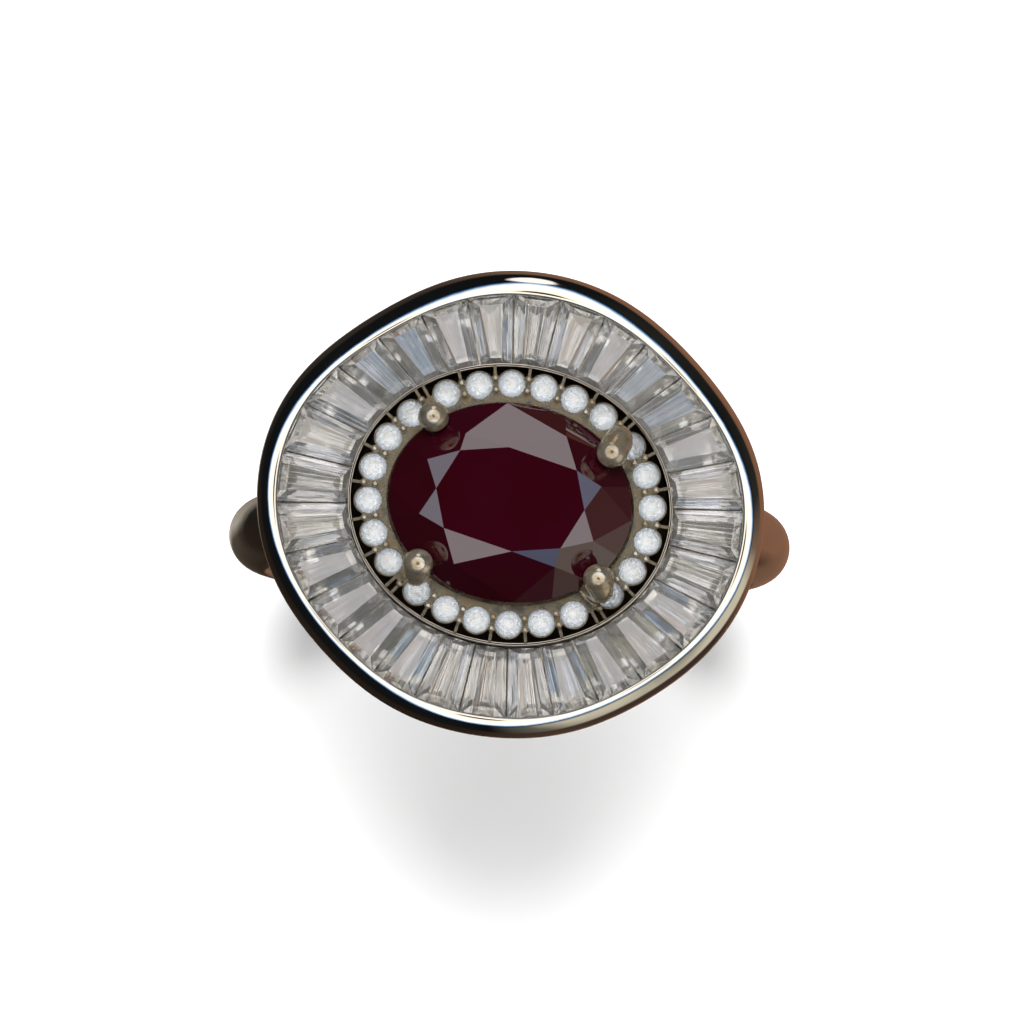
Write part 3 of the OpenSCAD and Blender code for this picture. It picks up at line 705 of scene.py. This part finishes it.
def floor():
    """A white card that curves up into a wall all round, far from the ring."""
    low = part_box("shank")[0].z
    flat, curve, height, steps = 0.9, 0.5, 1.6, 8
    bm = bmesh.new()
    line = [bm.verts.new((0, 0, low)), bm.verts.new((flat, 0, low))]
    for i in range(1, steps + 1):
        a = math.radians(90) * i / steps
        line.append(bm.verts.new((flat + curve * math.sin(a), 0, low + curve * (1 - math.cos(a)))))
    line.append(bm.verts.new((flat + curve, 0, low + height)))
    for p, q in zip(line, line[1:]):
        bm.edges.new((p, q))
    bmesh.ops.spin(
        bm, geom=bm.verts[:] + bm.edges[:], cent=(0, 0, 0), axis=(0, 0, 1),
        angle=math.tau, steps=96, use_merge=True,
    )
    bmesh.ops.remove_doubles(bm, verts=bm.verts, dist=1e-6)
    bmesh.ops.recalc_face_normals(bm, faces=bm.faces)
    mesh = bpy.data.meshes.new("floor_card")
    bm.to_mesh(mesh)
    bm.free()
    mesh.materials.append(floor_card())
    mesh.shade_smooth()
    card = bpy.data.objects.new("floor_card", mesh)
    scene.collection.objects.link(card)
    card.visible_glossy = False
    card.visible_transmission = False
    card.visible_diffuse = False
    card.visible_shadow = False


def camera():
    """A long lens almost straight above the ruby, tipped a little towards the wearer's side."""
    tip, roll, distance = math.radians(5.7), math.radians(1.5), 0.2
    aim = Vector((0.07, -0.26, 14.0)) * MM
    away = Vector((0, -math.sin(tip), math.cos(tip)))
    right = Vector((1, 0, 0))
    up = away.cross(right)
    turned = Matrix((right, up, away)).transposed() @ Matrix.Rotation(roll, 3, "Z")
    data = bpy.data.cameras.new("camera")
    data.lens = 203.9
    data.sensor_width = 36
    data.clip_start = 0.01
    made = bpy.data.objects.new("camera", data)
    made.matrix_world = Matrix.Translation(aim + away * distance) @ turned.to_4x4()
    scene.collection.objects.link(made)
    scene.camera = made


camera()
studio_world()
floor()
lamp("key_lamp", 23, 90, 0.5, 0.28, 3.2)
lamp("fill_lamp", 4, -90, 0.6, 0.5, 4.0)

# ---- the ring ----

band()
channel_rim()
for i in range(4):
    claw(i)
for g, side in enumerate(("right", "top", "left", "bottom")):
    halo_beads(g, f"halo_beads_{side}")

softened("halo_plate", "halo_plate_dressed", FILM_AND_PAINTED_REFLECTION, 0.03)
softened("shoulder_left", "shoulder_left_dressed", POLISH, 0.12, 3)
softened("shoulder_right", "shoulder_right_dressed", POLISH, 0.12, 3)
softened("saddle", "saddle_dressed", TUMBLED, 0.08)
softened("gallery_ring", "gallery_ring_dressed", TUMBLED, 0.1, 3)
softened("gallery_struts", "gallery_struts_dressed", TUMBLED, 0.1, 3)
softened("basket_base", "basket_base_dressed", TUMBLED, 0.08)
softened("basket_rail", "basket_rail_dressed", TUMBLED, 0.06)
# The channel's wall and floor get painted shade below the halo plate
softened("channel_wall", "channel_wall_dressed", RECESS_WITH_PAINTED_SHADE, 0.04)
softened("channel_bars", "channel_bars_dressed", TUMBLED, 0.03)
softened("channel_floor", "channel_floor_dressed", RECESS_WITH_PAINTED_SHADE, 0.03)

# The stones keep their CAD meshes, whose flat facets are the real shape
for name, part in nodes.items():
    for start, material in (("ruby", RUBY), ("halo_stones", ZIRCONIA), ("baguette", BAGUETTE)):
        if name.startswith(start):
            part.data.materials.clear()
            part.data.materials.append(material)

scene.view_settings.view_transform = "Standard"
scene.cycles.max_bounces = 24
scene.cycles.transmission_bounces = 20
scene.cycles.glossy_bounces = 8
scene.cycles.caustics_refractive = True
scene.cycles.caustics_reflective = True
